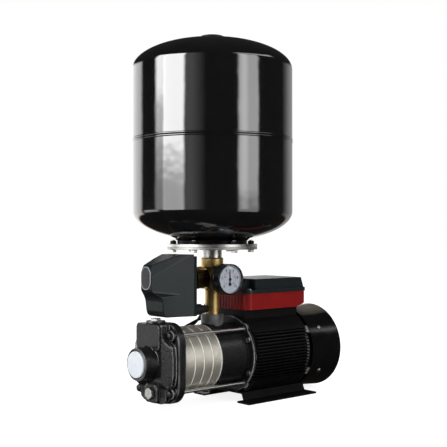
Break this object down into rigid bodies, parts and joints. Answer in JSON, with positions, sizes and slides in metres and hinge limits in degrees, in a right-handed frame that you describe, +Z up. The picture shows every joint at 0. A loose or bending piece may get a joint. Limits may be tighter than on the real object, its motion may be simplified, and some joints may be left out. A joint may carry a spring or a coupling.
{
  "type": "automatic water pump",
  "caption": "Automatic water pump: horizontal multistage pump and motor on a slotted foot, with brass fitting, gauge, pressure switch and upright pressure tank on top.",
  "frame": {"origin": "middle of the four foot slots, on the floor plane under the foot", "axes": "+X along the shaft from the inlet towards the fan, +Y away from the gauge, along the outlet port, +Z up"},
  "size_m": [0.4015, 0.2674, 0.605],
  "materials": {
    "black_paint": "gloss black enamel",
    "motor_paint": "satin black paint on an aluminium casting",
    "cast_iron": "satin dark paint on iron",
    "stainless": "brushed stainless sheet",
    "steel": "machined steel",
    "plated_steel": "plated steel",
    "zinc_screws": "bright zinc plate",
    "copper_windings": "lacquered copper wire",
    "black_plastic": "matt",
    "dark_plastic": "fine grain, slightly green grey",
    "red_plastic": "fine grain dark red",
    "white_plastic": "smooth",
    "cream_plastic": "smooth",
    "seal_carbon": "carbon and rubber",
    "seal_ceramic": "lapped ceramic",
    "brass": "cast and turned brass",
    "dial_face": "white enamel",
    "pointer_black": "matt",
    "gauge_glass": "clear",
    "bladder_rubber": "smooth",
    "lead_rubber": "smooth"
  },
  "bodies": {
    "pump": {"base_plate": "black_paint", "frame_bolts": "zinc_screws", "motor_housing": "motor_paint", "stator_core": "steel", "stator_windings": "copper_windings", "motor_flange": "cast_iron", "rear_shield": "cast_iron", "fan_cover": "black_paint", "fan_cover_screws": "zinc_screws", "bearing_outer_races": "steel", "seal_seat": "seal_ceramic", "chamber_1": "stainless", "chamber_2": "stainless", "chamber_3": "stainless", "chamber_4": "stainless", "discharge_part": "cast_iron", "inlet_part": "cast_iron", "tie_rods": "steel", "outlet_adapter": "cast_iron", "check_valve_spring": "steel", "manifold": "brass", "nipple": "stainless", "counter_flange": "plated_steel", "clamp_ring": "plated_steel", "flange_bolts": "zinc_screws", "tank_neck": "black_paint", "bladder": "bladder_rubber", "tank_lower_shell": "black_paint", "tank_upper_shell": "black_paint", "air_valve_body": "brass", "gauge_stem": "brass", "gauge_case": "black_paint", "gauge_dial": "dial_face", "gauge_glass": "gauge_glass", "bourdon_tube": "brass", "switch_nut": "brass", "switch_base": "dark_plastic", "switch_cover": "dark_plastic", "range_spring": "steel", "terminal_blocks": "cream_plastic", "cable_glands": "black_plastic", "switch_lead": "lead_rubber", "terminal_box_base": "red_plastic", "terminal_box_lid": "dark_plastic", "lid_screws": "zinc_screws"},
    "rotor": {"motor_shaft": "steel", "rotor_core": "steel", "cooling_fan": "black_plastic", "impellers": "stainless", "seal_head": "seal_carbon", "bearing_inner_sets": "steel"},
    "pointer": {"gauge_pointer": "pointer_black"},
    "check_disc": {"check_valve_disc": "black_plastic"},
    "plunger": {"switch_plunger": "steel"},
    "lever": {"contact_lever": "steel"},
    "port_cap": {"inlet_cap": "white_plastic"},
    "priming_plug": {"priming_plug": "zinc_screws"},
    "drain_plug": {"drain_plug": "zinc_screws"},
    "valve_cap": {"air_valve_cap": "black_plastic"},
    "valve_core": {"air_valve_core": "brass"}
  },
  "joints": [
    {"name": "shaft_spin", "type": "hinge", "parent": "pump", "child": "rotor", "pos_m": [0, 0, 0.075], "axis": [1, 0, 0], "continuous": true},
    {"name": "gauge_pointer_turn", "type": "hinge", "parent": "pump", "child": "pointer", "pos_m": [-0.10219, -0.04782, 0.203], "axis": [-0.0872, -0.9962, 0], "range_deg": [-135, 135]},
    {"name": "check_valve_lift", "type": "slide", "parent": "pump", "child": "check_disc", "axis": [0, 0, 1], "range_m": [0, 0.006], "stiffness_N_per_m": 150, "springref_m": -0.003, "deforming": ["check_valve_spring"]},
    {"name": "switch_plunger_travel", "type": "slide", "parent": "pump", "child": "plunger", "axis": [-1, 0, 0], "range_m": [0, 0.002], "stiffness_N_per_m": 1500, "springref_m": -0.001},
    {"name": "contact_lever_turn", "type": "hinge", "parent": "pump", "child": "lever", "pos_m": [-0.184, 0, 0.219], "axis": [0, 1, 0], "range_deg": [0, 7.2], "deforming": ["range_spring"]},
    {"name": "port_cap_off", "type": "slide", "parent": "pump", "child": "port_cap", "axis": [-1, 0, 0], "range_m": [0, 0.08]},
    {"name": "priming_plug_loosen", "type": "slide", "parent": "pump", "child": "priming_plug", "axis": [0, 0, 1], "range_m": [0, 0.0015]},
    {"name": "drain_plug_out", "type": "slide", "parent": "pump", "child": "drain_plug", "axis": [-1, 0, 0], "range_m": [0, 0.03]},
    {"name": "valve_cap_off", "type": "slide", "parent": "pump", "child": "valve_cap", "axis": [0, 0, 1], "range_m": [0, 0.03]},
    {"name": "air_valve_push", "type": "slide", "parent": "pump", "child": "valve_core", "axis": [0, 0, -1], "range_m": [0, 0.0015], "stiffness_N_per_m": 800, "springref_m": -0.001}
  ],
  "couplings": [
    {"joint": "contact_lever_turn", "follows": "switch_plunger_travel", "rad_per_m": 62.5}
  ]
}
